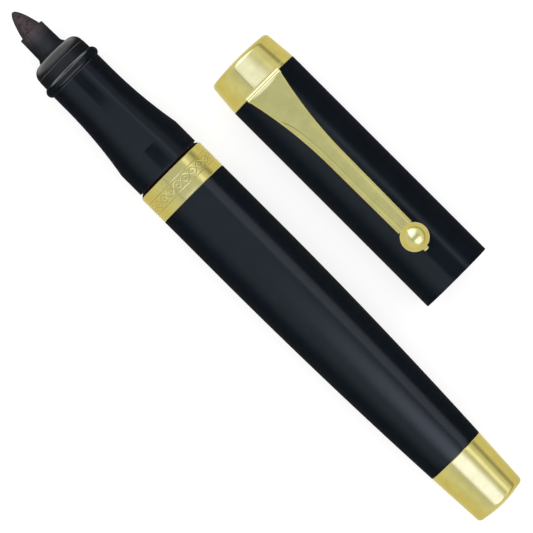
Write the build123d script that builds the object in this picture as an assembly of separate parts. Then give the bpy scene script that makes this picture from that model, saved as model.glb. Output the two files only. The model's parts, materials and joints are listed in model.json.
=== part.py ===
from build123d import *
import math
import os

# A brush pen with a felt nib, lying uncapped with its cap beside it.
# The row frame has its origin on the pen's axis, at the middle of the cap seat.
# +X runs along the pen towards its tail, +Y towards the cap and +Z up. Millimetres throughout.

# ---- pen: lengths along the axis, from the nib's tip to the tail ----
NIB_LENGTH = 4.95           # felt that shows in front of the collar
COLLAR_LENGTH = 5.80        # nib holder that shows in front of the nose
NOSE_LENGTH = 4.05
BEAD_WIDTH = 2.00
NECK_LENGTH = 3.20
FLARE_LENGTH = 16.10
SEAT_LENGTH = 5.10
JOINT_GAP = 0.70            # from the cap seat's rear face to the band's front face
BAND_WIDTH = 6.10
BARREL_STRAIGHT = 14.00
BARREL_TAPER = 55.40
TAIL_LENGTH = 12.60

# ---- pen: radii ----
REFILL_RADIUS = 4.30
REFILL_WALL = 0.50
WRAP_WALL = 0.25
NIB_RADIUS = 2.25
NIB_SHOULDER = (0.20, 0.44)  # shares of the nib's length and radius on its curve
NIB_MIDDLE = (0.50, 0.70)
COLLAR_WALL = 0.48
COLLAR_TAPER = 0.10         # growth of the collar's radius towards the nose
COLLAR_ROOT_STEP = 0.40     # flare of the collar's root beyond its taper
COLLAR_ROOT_START = 1.10    # the flare's front, ahead of the nose
COLLAR_ROOT_END = 0.25
LINER_WALL = 0.60
GRIP_WALL = 0.83            # section shell over the liner at the waist
BEAD_HEIGHT = 0.59
NOSE_INSET = 0.08           # nose cylinder inside the waist radius
THREAD_STEP = 0.85          # threaded spigot outside the liner's sleeve
BARREL_RADIUS = 7.61
SEAT_STEP = 0.40            # cap seat inside the barrel radius
BARREL_DROP = 1.39          # barrel's rear end inside its front radius
BARREL_WALL = 0.80
TAIL_INSET = 0.02           # tail cap's front edge inside the barrel's end
TAIL_TAPER = 0.62           # tail cap's end inside its front edge

# ---- pen: details ----
RUN = 0.05                  # radial clearance of every running fit
NOSE_LIP = 0.35             # width of the flat lip round the nose opening
NOSE_CREASE = 2.05          # from the nose's front to the end of its dome
NOSE_CREASE_STEP = 0.11     # dome edge inside the nose cylinder
NOSE_CREASE_SLOPE = 0.20    # length of the slope behind the crease
NOSE_DRAFT = 0.08           # growth of the nose cylinder towards the bead
DOME_REACH = 0.34           # shares of the dome's length and rise at its middle point
DOME_RISE = 0.75
NOSE_SPIGOT = 5.20          # nose inside the section
NOSE_FLOOR = 2.65           # from the nose's front to the shoulder that the refill rests on
FLANGE_LENGTH = 1.00        # flange of the nib holder on that shoulder
HOLDER_PLUG = 5.60          # nib holder inside the refill tube
NIB_SHANK = 7.00            # felt of full radius inside the holder
NIB_TAIL_RADIUS = 1.60
NIB_TAIL = 14.00            # thin felt behind the shank, into the reservoir
RESERVOIR_LENGTH = 71.00
RESERVOIR_GAP = 0.50        # between the reservoir and the pieces before and behind it
PLUG_INSERT = 1.60
PLUG_FLANGE = 1.50
PLUG_BOSS = 1.50
SPRING_LENGTH = 13.00
SPRING_WIRE = 0.45
SPRING_TURNS = 7
SPRING_BOSS_RADIUS = 2.60
SPRING_BOSS_GAP = 0.30      # between a boss and the inside of the spring
THREAD_LENGTH = 6.00        # length of engaged thread, and the travel that frees it
SPIGOT_RELIEF = 1.10        # plain end of the section's threaded spigot
SHOULDER_DEPTH = 3.20       # threaded sleeve's root inside the section
RING_WIRE = 1.00            # section thickness of the rubber ring
RING_SLACK = 0.02           # room beside the rubber ring in its groove
RING_ROOM = 0.05            # room outside the rubber ring
LIP_EDGE = 0.05             # flat front edge of the bush cone
LIP_GAP = 0.20              # between the cap seat and the bush cone
BUSH_LIP_STEP = 0.15        # bush cone inside the barrel radius
BUSH_SPIGOT = 7.00          # bush inside the barrel tube
BUSH_RELIEF = 0.15
BAND_CHAMFER = 0.15
BORE_END = 9.40             # plain rear bore of the barrel tube
BORE_STEP = 0.35            # shoulder in front of that rear bore
TAIL_SPIGOT = 6.60
TAIL_SPIGOT_WALL = 1.20
TAIL_SPIGOT_STEP = 0.80     # spigot inside the plug's radius
TAIL_CAVITY = 4.00
TAIL_CAVITY_STEP = 0.50
TAIL_DOME = 0.55
TAIL_FILLET = 0.50

# ---- cap: lengths from the crown's end to the mouth ----
CAP_LENGTH = 58.05
CROWN_LENGTH = 6.40
CLIP_RING_THICKNESS = 0.60
CAP_CLEARANCE = 0.06        # between the cap seat and the cap's bore
CAP_WALL = 0.38
CAP_END_WALL = 0.60
CAP_BORE_STEP = 0.25        # narrower bore round the liner
CROWN_TAPER = 0.48          # crown's end inside its rear edge
CROWN_INSET = 0.05          # crown's rear edge inside the tube's radius
CROWN_FILLET = 0.90
CROWN_DOME = 0.35
CROWN_TOP = 1.80
CROWN_WALL = 1.10
CROWN_BOSS_RADIUS = 3.15
LINER_END_WALL = 1.40
LINER_PAST_BEAD = 5.10      # liner beyond the seated bead ring
BEAD_CLEARANCE = 0.06
SNAP_HEIGHT = 0.18          # ridge that the bead ring snaps behind
SNAP_WIDTH = 0.80
SNAP_GAP = 0.50             # from the seated bead ring to the ridge
SCREW_RADIUS = 1.45
SCREW_GAP = 0.10
SCREW_REACH = 6.00          # shank beyond the liner's end wall
SCREW_HEAD_RADIUS = 2.60
SCREW_HEAD = 1.60
SCREW_SLOT = 0.70
SCREW_SLOT_DEPTH = 0.80
CUT_SPARE = 1.00            # how far a cutter runs past the face that it opens
WASHER_THICKNESS = 0.50
WASHER_SPLIT = 0.50
CUP_FLOOR = 1.20
CUP_FLANGE = 1.00
CUP_WALL = 0.95
CUP_CLEARANCE = 1.02        # cup's bore outside the nose's lip, clear of its dome
CUP_HEADROOM = 2.10         # in front of the seated nib
CUP_LAP = 0.50              # cup's lip over the seated nose

# ---- clip ----
BAR_RADIUS = 0.60
BAR_HEIGHT = 0.45           # bar's underside above the cap tube
BAR_INSET = 0.10            # bar's centre behind the tube's end
EAR_ROOT = 0.30             # ear's corners inside the washer's rim
CLIP_ROOT_WIDTH = 8.36
CLIP_WAIST_WIDTH = 3.66
CLIP_END_WIDTH = 3.36
CLIP_FLARE = 20.00          # length over which the root narrows to the waist
CLIP_THICKNESS = 1.00
CLIP_BEVEL = 0.32
CLIP_BEVEL_WIDTH = 0.64
CLIP_STATIONS = 12          # spans between the blade's cross-sections
BALL_RADIUS = 2.775
BALL_REACH = 39.88          # from the bar's centre to the ball's centre
BALL_CLEARANCE = 0.03       # ball above the cap tube
CLIP_COLLAR_RADIUS = 1.25
CLIP_COLLAR = 0.60
STUD_RADIUS = 0.80
NUB_RADIUS = 0.53
NUB_LENGTH = 0.50

# ---- where the cap lies ----
CAP_SIDE_GAP = 8.44         # free space between barrel and cap
CAP_MOUTH_PAST_BAND = 52.05
CAP_ROLL = 2.10             # degrees about the cap's axis, clip towards the pen

# ---- stations along the pen ----
X_SEAT_FRONT = -SEAT_LENGTH / 2
X_SEAT_REAR = SEAT_LENGTH / 2
X_BAND = X_SEAT_REAR + JOINT_GAP
X_TUBE = X_BAND + BAND_WIDTH
X_TAPER = X_TUBE + BARREL_STRAIGHT
X_TAIL = X_TAPER + BARREL_TAPER
X_END = X_TAIL + TAIL_LENGTH
X_FLARE = X_SEAT_FRONT - FLARE_LENGTH
X_BEAD_REAR = X_FLARE - NECK_LENGTH
X_BEAD_FRONT = X_BEAD_REAR - BEAD_WIDTH
X_NOSE = X_BEAD_FRONT - NOSE_LENGTH
X_COLLAR = X_NOSE - COLLAR_LENGTH
X_TIP = X_COLLAR - NIB_LENGTH
X_NOSE_FLOOR = X_NOSE + NOSE_FLOOR
X_REFILL = X_NOSE_FLOOR + FLANGE_LENGTH
X_LINER = X_BEAD_FRONT + NOSE_SPIGOT
X_SHOULDER = X_SEAT_REAR - SHOULDER_DEPTH
X_RING = X_SEAT_REAR + LIP_GAP / 2
X_THREAD = X_RING + RING_WIRE / 2 + RING_SLACK
X_SPIGOT_END = X_THREAD + THREAD_LENGTH + SPIGOT_RELIEF
X_RESERVOIR = X_REFILL + HOLDER_PLUG + RESERVOIR_GAP
X_PLUG = X_RESERVOIR + RESERVOIR_LENGTH + RESERVOIR_GAP
X_PLUG_FLANGE = X_PLUG + PLUG_INSERT
X_SPRING = X_PLUG_FLANGE + PLUG_FLANGE
X_SPRING_END = X_SPRING + SPRING_LENGTH
X_REAR_BORE = X_TAIL - BORE_END

# ---- radii that follow from the fits ----
REFILL_BORE = REFILL_RADIUS - REFILL_WALL
FIBRE_RADIUS = REFILL_BORE - WRAP_WALL
COLLAR_RADIUS = NIB_RADIUS + COLLAR_WALL
COLLAR_ROOT_RADIUS = COLLAR_RADIUS + COLLAR_TAPER + COLLAR_ROOT_STEP
NOSE_BORE = COLLAR_ROOT_RADIUS + RUN
LINER_BORE = REFILL_RADIUS + RUN
LINER_RADIUS = LINER_BORE + LINER_WALL
NECK_RADIUS = LINER_RADIUS + GRIP_WALL
NOSE_RADIUS = NECK_RADIUS - NOSE_INSET
BEAD_RADIUS = NECK_RADIUS + BEAD_HEIGHT
SPIGOT_RADIUS = LINER_RADIUS + THREAD_STEP
BUSH_BORE = SPIGOT_RADIUS + RUN
RING_RADIUS = SPIGOT_RADIUS + RING_WIRE / 2
RING_GROOVE_RADIUS = RING_RADIUS + RING_WIRE / 2 + RING_ROOM
SEAT_RADIUS = BARREL_RADIUS - SEAT_STEP
TUBE_BORE = BARREL_RADIUS - BARREL_WALL
BARREL_END_RADIUS = BARREL_RADIUS - BARREL_DROP
TAIL_RADIUS = BARREL_END_RADIUS - TAIL_INSET
TAIL_END_RADIUS = TAIL_RADIUS - TAIL_TAPER
REAR_BORE = BARREL_END_RADIUS - BARREL_WALL
TAIL_SPIGOT_RADIUS = REAR_BORE - TAIL_SPIGOT_STEP
SPRING_RADIUS = SPRING_BOSS_RADIUS + SPRING_BOSS_GAP + SPRING_WIRE / 2
CAP_BORE = SEAT_RADIUS + CAP_CLEARANCE
CAP_RADIUS = CAP_BORE + CAP_WALL
CAP_REAR_BORE = CAP_BORE - CAP_BORE_STEP
CROWN_RADIUS = CAP_RADIUS - CROWN_INSET
CROWN_END_RADIUS = CROWN_RADIUS - CROWN_TAPER
CAP_LINER_BORE = BEAD_RADIUS + BEAD_CLEARANCE
CUP_BORE = NOSE_BORE + NOSE_LIP + CUP_CLEARANCE

# ---- stations along the cap, from the crown's end ----
C_TUBE = CROWN_LENGTH + CLIP_RING_THICKNESS
C_LINER = C_TUBE + CAP_END_WALL
C_SCREW = C_LINER + LINER_END_WALL
C_NIB = CAP_LENGTH - (X_BAND - X_TIP)           # where the nib's tip is when the cap is on
C_NOSE = C_NIB + (X_NOSE - X_TIP)
C_BEAD_REAR = C_NIB + (X_BEAD_REAR - X_TIP)
C_LINER_END = C_BEAD_REAR + LINER_PAST_BEAD
C_SNAP = C_BEAD_REAR + SNAP_GAP
C_CUP = C_NIB - CUP_HEADROOM - CUP_FLOOR
C_CUP_LIP = C_NOSE + CUP_LAP
C_BAR = C_TUBE + BAR_INSET
C_BALL = C_BAR + BALL_REACH
C_BLADE_END = C_BALL - BALL_RADIUS + CLIP_COLLAR / 2
C_COLLAR_END = C_BLADE_END + CLIP_COLLAR
H_BAR = CAP_RADIUS + BAR_HEIGHT + BAR_RADIUS
H_BALL = CAP_RADIUS + BALL_CLEARANCE + BALL_RADIUS

# ---- placing of the cap on the surface that the pen lies on ----
CAP_X = X_BAND + CAP_MOUTH_PAST_BAND - CAP_LENGTH
CAP_Y = BARREL_RADIUS + CAP_SIDE_GAP + CAP_RADIUS
CAP_Z = CAP_RADIUS - BARREL_RADIUS
CAP_PLACE = Location((CAP_X, CAP_Y, CAP_Z), (CAP_ROLL, 0, 0))


# ---- shared shapes ----
def turned(*outline):
    """Solid of revolution about the X axis from the edges of its closed half outline."""
    return revolve(make_face(outline), Axis.X)


def sleeve(start, end, radius, bore=0.0):
    """Plain tube or rod on the X axis."""
    corners = [(start, bore), (end, bore), (end, radius), (start, radius)]
    return turned(*Polyline(*corners, close=True).edges())


def taper(start, end):
    """Parabola that leaves its start parallel to the axis."""
    return Bezier(start, ((start[0] + end[0]) / 2, start[1]), end)


# ---- refill ----
def felt_nib():
    tip = Spline(
        (X_TIP, 0),
        (X_TIP + NIB_SHOULDER[0] * NIB_LENGTH, NIB_SHOULDER[1] * NIB_RADIUS),
        (X_TIP + NIB_MIDDLE[0] * NIB_LENGTH, NIB_MIDDLE[1] * NIB_RADIUS),
        (X_COLLAR, NIB_RADIUS),
        tangents=[(0.15, 1), (1, 0.14)],
    )
    shank_end = X_COLLAR + NIB_SHANK
    tail_end = shank_end + NIB_TAIL
    back = Polyline(
        (X_COLLAR, NIB_RADIUS),
        (shank_end, NIB_RADIUS),
        (shank_end, NIB_TAIL_RADIUS),
        (tail_end, NIB_TAIL_RADIUS),
        (tail_end, 0),
        (X_TIP, 0),
    )
    return turned(tip, *back.edges())


def nib_holder():
    flare = (X_NOSE - COLLAR_ROOT_START, COLLAR_RADIUS + COLLAR_TAPER)
    root = (X_NOSE - COLLAR_ROOT_END, COLLAR_ROOT_RADIUS)
    plug_end = X_REFILL + HOLDER_PLUG
    outside = [
        Line((X_COLLAR, COLLAR_RADIUS), flare),
        TangentArc(flare, root, tangent=(1, 0)),
        *Polyline(
            root,
            (X_NOSE_FLOOR, COLLAR_ROOT_RADIUS),
            (X_NOSE_FLOOR, REFILL_RADIUS),
            (X_REFILL, REFILL_RADIUS),
            (X_REFILL, REFILL_BORE),
            (plug_end, REFILL_BORE),
            (plug_end, 0),
            (X_COLLAR, 0),
            (X_COLLAR, COLLAR_RADIUS),
        ).edges(),
    ]
    shank = sleeve(X_COLLAR, X_COLLAR + NIB_SHANK, NIB_RADIUS)
    return turned(*outside) - shank - sleeve(X_COLLAR, plug_end, NIB_TAIL_RADIUS)


def cartridge_tube():
    return sleeve(X_REFILL, X_PLUG_FLANGE, REFILL_RADIUS, REFILL_BORE)


def ink_reservoir():
    rod = sleeve(X_RESERVOIR, X_RESERVOIR + RESERVOIR_LENGTH, FIBRE_RADIUS)
    return rod - sleeve(X_RESERVOIR, X_COLLAR + NIB_SHANK + NIB_TAIL, NIB_TAIL_RADIUS)


def reservoir_wrap():
    return sleeve(X_RESERVOIR, X_RESERVOIR + RESERVOIR_LENGTH, REFILL_BORE, FIBRE_RADIUS)


def cartridge_plug():
    insert = sleeve(X_PLUG, X_PLUG_FLANGE, REFILL_BORE)
    flange = sleeve(X_PLUG_FLANGE, X_SPRING, REFILL_RADIUS)
    return insert + flange + sleeve(X_SPRING, X_SPRING + PLUG_BOSS, SPRING_BOSS_RADIUS)


def refill_spring():
    height = SPRING_LENGTH - SPRING_WIRE
    foot = (X_SPRING + SPRING_WIRE / 2, 0, 0)
    coil = Helix(height / SPRING_TURNS, height, SPRING_RADIUS, center=foot, direction=(1, 0, 0))
    wire = Plane(origin=coil @ 0, z_dir=coil % 0) * Circle(SPRING_WIRE / 2)
    return sweep(wire, path=coil, is_frenet=True)


# ---- front section ----
def front_ferrule():
    lip = (X_NOSE, NOSE_BORE + NOSE_LIP)
    crease = (X_NOSE + NOSE_CREASE, NOSE_RADIUS - NOSE_CREASE_STEP)
    middle = (lip[0] + DOME_REACH * NOSE_CREASE, lip[1] + DOME_RISE * (crease[1] - lip[1]))
    dome = ThreePointArc(lip, middle, crease)
    outside = Polyline(
        crease,
        (crease[0] + NOSE_CREASE_SLOPE, NOSE_RADIUS - NOSE_DRAFT),
        (X_BEAD_FRONT, NOSE_RADIUS),
        (X_BEAD_FRONT, LINER_RADIUS),
        (X_LINER, LINER_RADIUS),
        (X_LINER, LINER_BORE),
        (X_NOSE_FLOOR, LINER_BORE),
        (X_NOSE_FLOOR, NOSE_BORE),
        (X_NOSE, NOSE_BORE),
        lip,
    )
    return turned(dome, *outside.edges())


def grip_section():
    """Waisted shell with the bead ring at its front and the cap seat at its rear."""
    bead = ThreePointArc(
        (X_BEAD_FRONT, NOSE_RADIUS),
        ((X_BEAD_FRONT + X_BEAD_REAR) / 2, BEAD_RADIUS),
        (X_BEAD_REAR, NECK_RADIUS),
    )
    neck = Line((X_BEAD_REAR, NECK_RADIUS), (X_FLARE, NECK_RADIUS))
    flare = TangentArc((X_FLARE, NECK_RADIUS), (X_SEAT_FRONT, SEAT_RADIUS), tangent=(1, 0))
    rest = Polyline(
        (X_SEAT_FRONT, SEAT_RADIUS),
        (X_SEAT_REAR, SEAT_RADIUS),
        (X_SEAT_REAR, SPIGOT_RADIUS),
        (X_SHOULDER, SPIGOT_RADIUS),
        (X_SHOULDER, LINER_RADIUS),
        (X_BEAD_FRONT, LINER_RADIUS),
        (X_BEAD_FRONT, NOSE_RADIUS),
    )
    groove_front = X_RING - RING_WIRE / 2 - RING_SLACK
    groove = sleeve(groove_front, X_SEAT_REAR, RING_GROOVE_RADIUS, SPIGOT_RADIUS)
    return turned(bead, neck, flare, *rest.edges()) - groove


def section_liner():
    """Brass sleeve that guides the refill and carries the barrel thread on its rear spigot."""
    spigot = sleeve(X_SHOULDER, X_SPIGOT_END, SPIGOT_RADIUS, LINER_BORE)
    return sleeve(X_LINER, X_SHOULDER, LINER_RADIUS, LINER_BORE) + spigot


def section_o_ring():
    return Pos(X_RING, 0, 0) * Rot(0, 90, 0) * Torus(RING_RADIUS, RING_WIRE / 2)


# ---- barrel ----
def barrel_bush():
    """Threaded mouth of the barrel, with the conical lip that holds the band."""
    groove_rear = X_RING + RING_WIRE / 2 + RING_SLACK
    lip_front = X_SEAT_REAR + LIP_GAP
    spigot_end = X_TUBE + BUSH_SPIGOT
    relief = X_THREAD + THREAD_LENGTH + BUSH_RELIEF
    outline = Polyline(
        (groove_rear, BUSH_BORE),
        (relief, BUSH_BORE),
        (relief, BUSH_BORE + BUSH_RELIEF),
        (spigot_end, BUSH_BORE + BUSH_RELIEF),
        (spigot_end, TUBE_BORE),
        (X_BAND, TUBE_BORE),
        (X_BAND, BARREL_RADIUS - BUSH_LIP_STEP),
        (lip_front, RING_GROOVE_RADIUS + LIP_EDGE),
        (lip_front, RING_GROOVE_RADIUS),
        (groove_rear, RING_GROOVE_RADIUS),
        close=True,
    )
    return turned(*outline.edges())


def trim_band():
    band = sleeve(X_BAND, X_TUBE, BARREL_RADIUS, TUBE_BORE)
    rims = band.edges().filter_by(GeomType.CIRCLE).sort_by(SortBy.RADIUS)[-2:]
    return chamfer(rims, BAND_CHAMFER)


def barrel_tube():
    tail = (X_TAIL, BARREL_END_RADIUS)
    bore_end = (X_REAR_BORE, REAR_BORE + BORE_STEP)
    outside = taper((X_TAPER, BARREL_RADIUS), tail)
    rear = Polyline(tail, (X_TAIL, REAR_BORE), (X_REAR_BORE, REAR_BORE), bore_end)
    bore = taper((X_TAPER, TUBE_BORE), bore_end)
    front = Polyline((X_TAPER, TUBE_BORE), (X_TUBE, TUBE_BORE), (X_TUBE, BARREL_RADIUS), (X_TAPER, BARREL_RADIUS))
    return turned(outside, *rear.edges(), bore, *front.edges())


def tail_plug():
    """Spring seat pressed into the barrel, with the hollow spigot that holds the tail cap."""
    boss = sleeve(X_SPRING_END - PLUG_BOSS, X_SPRING_END, SPRING_BOSS_RADIUS)
    body = sleeve(X_SPRING_END, X_TAIL, REAR_BORE)
    spigot_end = X_TAIL + TAIL_SPIGOT
    spigot = sleeve(X_TAIL, spigot_end, TAIL_SPIGOT_RADIUS, TAIL_SPIGOT_RADIUS - TAIL_SPIGOT_WALL)
    return boss + body + spigot


def tail_cap():
    rim = (X_END - TAIL_DOME, TAIL_END_RADIUS)
    corner = (rim[0], rim[1] - TAIL_FILLET)
    bend = (rim[0] - TAIL_FILLET, rim[1])
    spigot_end = X_TAIL + TAIL_SPIGOT
    cavity_end = spigot_end + TAIL_CAVITY
    cavity_radius = TAIL_SPIGOT_RADIUS - TAIL_CAVITY_STEP
    inside = Polyline(
        (X_END, 0),
        (cavity_end, 0),
        (cavity_end, cavity_radius),
        (spigot_end, cavity_radius),
        (spigot_end, TAIL_SPIGOT_RADIUS),
        (X_TAIL, TAIL_SPIGOT_RADIUS),
        (X_TAIL, TAIL_RADIUS),
    )
    side = Line((X_TAIL, TAIL_RADIUS), bend)
    edge = TangentArc(bend, corner, tangent=side % 1)
    dome = TangentArc((X_END, 0), corner, tangent=(0, 1))
    return turned(side, edge, dome, *inside.edges())


# ---- cap, built on the X axis from the crown's end ----
def cap_tube():
    tube = sleeve(C_TUBE, CAP_LENGTH, CAP_RADIUS, CROWN_BOSS_RADIUS)
    liner_bore = sleeve(C_LINER, C_LINER_END, CAP_REAR_BORE)
    return tube - liner_bore - sleeve(C_LINER_END, CAP_LENGTH, CAP_BORE)


def cap_crown():
    bend = (CROWN_DOME + CROWN_FILLET, CROWN_END_RADIUS)
    corner = (CROWN_DOME, CROWN_END_RADIUS - CROWN_FILLET)
    side = Line((CROWN_LENGTH, CROWN_RADIUS), bend)
    edge = TangentArc(bend, corner, tangent=side % 1)
    dome = TangentArc((0, 0), corner, tangent=(0, 1))
    inside = Polyline(
        (0, 0),
        (C_LINER, 0),
        (C_LINER, CROWN_BOSS_RADIUS),
        (CROWN_TOP, CROWN_BOSS_RADIUS),
        (CROWN_TOP, CROWN_END_RADIUS - CROWN_WALL),
        (CROWN_LENGTH, CROWN_RADIUS - CROWN_WALL),
        (CROWN_LENGTH, CROWN_RADIUS),
    )
    screw_hole = sleeve(C_SCREW - SCREW_REACH - CUT_SPARE, C_LINER, SCREW_RADIUS)
    return turned(side, edge, dome, *inside.edges()) - screw_hole


def clip_bar(radius):
    return Pos(C_BAR, 0, H_BAR) * Rot(90, 0, 0) * Cylinder(radius, CLIP_ROOT_WIDTH)


def clip_ring():
    """Washer under the crown, whose ear ends in the round bar at the root of the clip."""
    ring = sleeve(CROWN_LENGTH, C_TUBE, CROWN_RADIUS, CROWN_BOSS_RADIUS)
    ear_foot = math.sqrt(CROWN_RADIUS**2 - (CLIP_ROOT_WIDTH / 2) ** 2) - EAR_ROOT
    ear_height = H_BAR - ear_foot
    ear_place = Pos((CROWN_LENGTH + C_TUBE) / 2, 0, ear_foot + ear_height / 2)
    ear = ear_place * Box(CLIP_RING_THICKNESS, CLIP_ROOT_WIDTH, ear_height)
    return ring + ear + clip_bar(BAR_RADIUS)


def clip_half_width(reach):
    """Half the blade's width at a distance behind the bar: an arc to the waist, then a slow taper."""
    if reach < CLIP_FLARE:
        depth = (CLIP_ROOT_WIDTH - CLIP_WAIST_WIDTH) / 2
        return CLIP_WAIST_WIDTH / 2 + depth * (1 - reach / CLIP_FLARE) ** 2
    blade = BALL_REACH - BALL_RADIUS - CLIP_FLARE
    return (CLIP_WAIST_WIDTH + (CLIP_END_WIDTH - CLIP_WAIST_WIDTH) * (reach - CLIP_FLARE) / blade) / 2


def clip_height(reach):
    """Height of the blade's middle above the cap's axis: it rises evenly to the ball's height."""
    return H_BAR + (H_BALL - H_BAR) * reach / (C_BLADE_END - C_BAR)


def clip_blade_section(reach):
    """Cross-section of the blade: flat underneath, with a bevel along each upper edge."""
    half = clip_half_width(reach)
    low = -CLIP_THICKNESS / 2
    high = CLIP_THICKNESS / 2
    corners = [
        (-half, low),
        (half, low),
        (half, high - CLIP_BEVEL),
        (half - CLIP_BEVEL_WIDTH, high),
        (CLIP_BEVEL_WIDTH - half, high),
        (-half, high - CLIP_BEVEL),
    ]
    plane = Plane(origin=(C_BAR + reach, 0, clip_height(reach)), x_dir=(0, 1, 0), z_dir=(1, 0, 0))
    return plane * make_face(Polyline(*corners, close=True).edges())


def clip_arm():
    span = (C_BLADE_END - C_BAR) / CLIP_STATIONS
    blade = loft([clip_blade_section(n * span) for n in range(CLIP_STATIONS + 1)])
    stud = sleeve(C_BLADE_END, C_BALL + BALL_RADIUS, STUD_RADIUS)
    nub = sleeve(C_BALL + BALL_RADIUS, C_BALL + BALL_RADIUS + NUB_LENGTH, NUB_RADIUS)
    collar = sleeve(C_BLADE_END, C_COLLAR_END, CLIP_COLLAR_RADIUS)
    return blade - clip_bar(BAR_RADIUS + RUN) + Pos(0, 0, H_BALL) * (stud + nub + collar)


def clip_ball():
    ball = Pos(C_BALL, 0, H_BALL) * Sphere(BALL_RADIUS)
    pocket = sleeve(C_BALL - BALL_RADIUS - CUT_SPARE, C_COLLAR_END, CLIP_COLLAR_RADIUS)
    bore = sleeve(C_BALL - BALL_RADIUS, C_BALL + BALL_RADIUS + CUT_SPARE, STUD_RADIUS)
    return ball - Pos(0, 0, H_BALL) * (pocket + bore)


def cap_liner():
    body = sleeve(C_LINER, C_LINER_END, CAP_REAR_BORE)
    bore = sleeve(C_SCREW, C_LINER_END, CAP_LINER_BORE)
    snap_top = BEAD_RADIUS - SNAP_HEIGHT + BEAD_CLEARANCE
    snap = sleeve(C_SNAP, C_SNAP + SNAP_WIDTH, CAP_LINER_BORE, snap_top)
    snap_edges = snap.edges().filter_by(GeomType.CIRCLE).sort_by(SortBy.RADIUS)[:2]
    screw_hole = sleeve(C_LINER, C_SCREW, SCREW_RADIUS + SCREW_GAP)
    return body - bore - screw_hole + chamfer(snap_edges, SNAP_HEIGHT / 2)


def seal_cup():
    """Soft cup that closes round the nose when the cap is on."""
    flange = sleeve(C_CUP, C_CUP + CUP_FLANGE, CAP_LINER_BORE)
    wall = sleeve(C_CUP + CUP_FLANGE, C_CUP_LIP, CUP_BORE + CUP_WALL)
    return flange + wall - sleeve(C_CUP + CUP_FLOOR, C_CUP_LIP, CUP_BORE)


def crown_screw():
    head_start = C_SCREW + WASHER_THICKNESS
    shank = sleeve(C_SCREW - SCREW_REACH, head_start, SCREW_RADIUS)
    head = sleeve(head_start, head_start + SCREW_HEAD, SCREW_HEAD_RADIUS)
    slot_length = 2 * SCREW_HEAD_RADIUS + CUT_SPARE
    slot = Pos(head_start + SCREW_HEAD, 0, 0) * Box(2 * SCREW_SLOT_DEPTH, slot_length, SCREW_SLOT)
    return shank + head - slot


def lock_washer():
    ring = sleeve(C_SCREW, C_SCREW + WASHER_THICKNESS, SCREW_HEAD_RADIUS, SCREW_RADIUS + SCREW_GAP)
    split_place = Pos(C_SCREW + WASHER_THICKNESS / 2, 0, SCREW_HEAD_RADIUS)
    return ring - split_place * Box(WASHER_THICKNESS + CUT_SPARE, WASHER_SPLIT, SCREW_HEAD_RADIUS)


PEN_PIECES = [
    felt_nib,
    nib_holder,
    cartridge_tube,
    ink_reservoir,
    reservoir_wrap,
    cartridge_plug,
    refill_spring,
    front_ferrule,
    grip_section,
    section_liner,
    section_o_ring,
    barrel_bush,
    trim_band,
    barrel_tube,
    tail_plug,
    tail_cap,
]
CAP_PIECES = [
    cap_tube,
    cap_crown,
    clip_ring,
    clip_arm,
    clip_ball,
    cap_liner,
    seal_cup,
    crown_screw,
    lock_washer,
]

os.makedirs("parts", exist_ok=True)
for piece in PEN_PIECES:
    export_step(piece(), f"parts/{piece.__name__}.step")
for piece in CAP_PIECES:
    export_step(CAP_PLACE * piece(), f"parts/{piece.__name__}.step")
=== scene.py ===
import itertools
import json
import math

import bmesh
import bpy
from mathutils import Matrix, Vector, noise
from mathutils.geometry import interpolate_bezier


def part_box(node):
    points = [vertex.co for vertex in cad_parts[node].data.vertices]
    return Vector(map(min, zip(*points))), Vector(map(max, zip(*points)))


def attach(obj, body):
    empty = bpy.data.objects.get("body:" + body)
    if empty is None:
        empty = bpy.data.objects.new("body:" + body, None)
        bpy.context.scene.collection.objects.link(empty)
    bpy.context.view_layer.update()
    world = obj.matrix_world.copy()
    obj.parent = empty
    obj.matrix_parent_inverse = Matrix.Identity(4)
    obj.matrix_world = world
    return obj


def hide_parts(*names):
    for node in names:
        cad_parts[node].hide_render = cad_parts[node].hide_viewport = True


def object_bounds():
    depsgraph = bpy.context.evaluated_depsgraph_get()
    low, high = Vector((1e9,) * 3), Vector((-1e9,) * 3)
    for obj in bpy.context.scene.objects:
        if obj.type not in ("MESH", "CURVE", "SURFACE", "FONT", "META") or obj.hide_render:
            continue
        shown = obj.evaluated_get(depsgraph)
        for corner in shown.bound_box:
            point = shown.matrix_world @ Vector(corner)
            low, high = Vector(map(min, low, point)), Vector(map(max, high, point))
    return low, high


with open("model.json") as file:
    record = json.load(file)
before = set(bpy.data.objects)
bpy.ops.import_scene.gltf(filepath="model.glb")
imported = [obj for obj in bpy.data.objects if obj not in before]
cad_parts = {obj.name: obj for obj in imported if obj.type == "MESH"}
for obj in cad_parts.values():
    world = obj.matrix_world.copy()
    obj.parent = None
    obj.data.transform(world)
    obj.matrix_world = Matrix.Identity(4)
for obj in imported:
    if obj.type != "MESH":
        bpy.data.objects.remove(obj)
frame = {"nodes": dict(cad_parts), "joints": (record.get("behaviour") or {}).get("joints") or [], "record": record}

# An uncapped brush pen with its cap beside it. The pen's axis is the X axis of the row frame.
cad_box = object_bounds()
MM = 0.001                  # the frame is in metres
ON_AXIS = 1e-7              # a point nearer the axis than this is a pole
ARC_STEPS = 5               # spans in a rounded corner
SEGMENTS = 160              # spans round a turned piece
SHARP = math.radians(38)    # a crease sharper than this stays sharp


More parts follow.
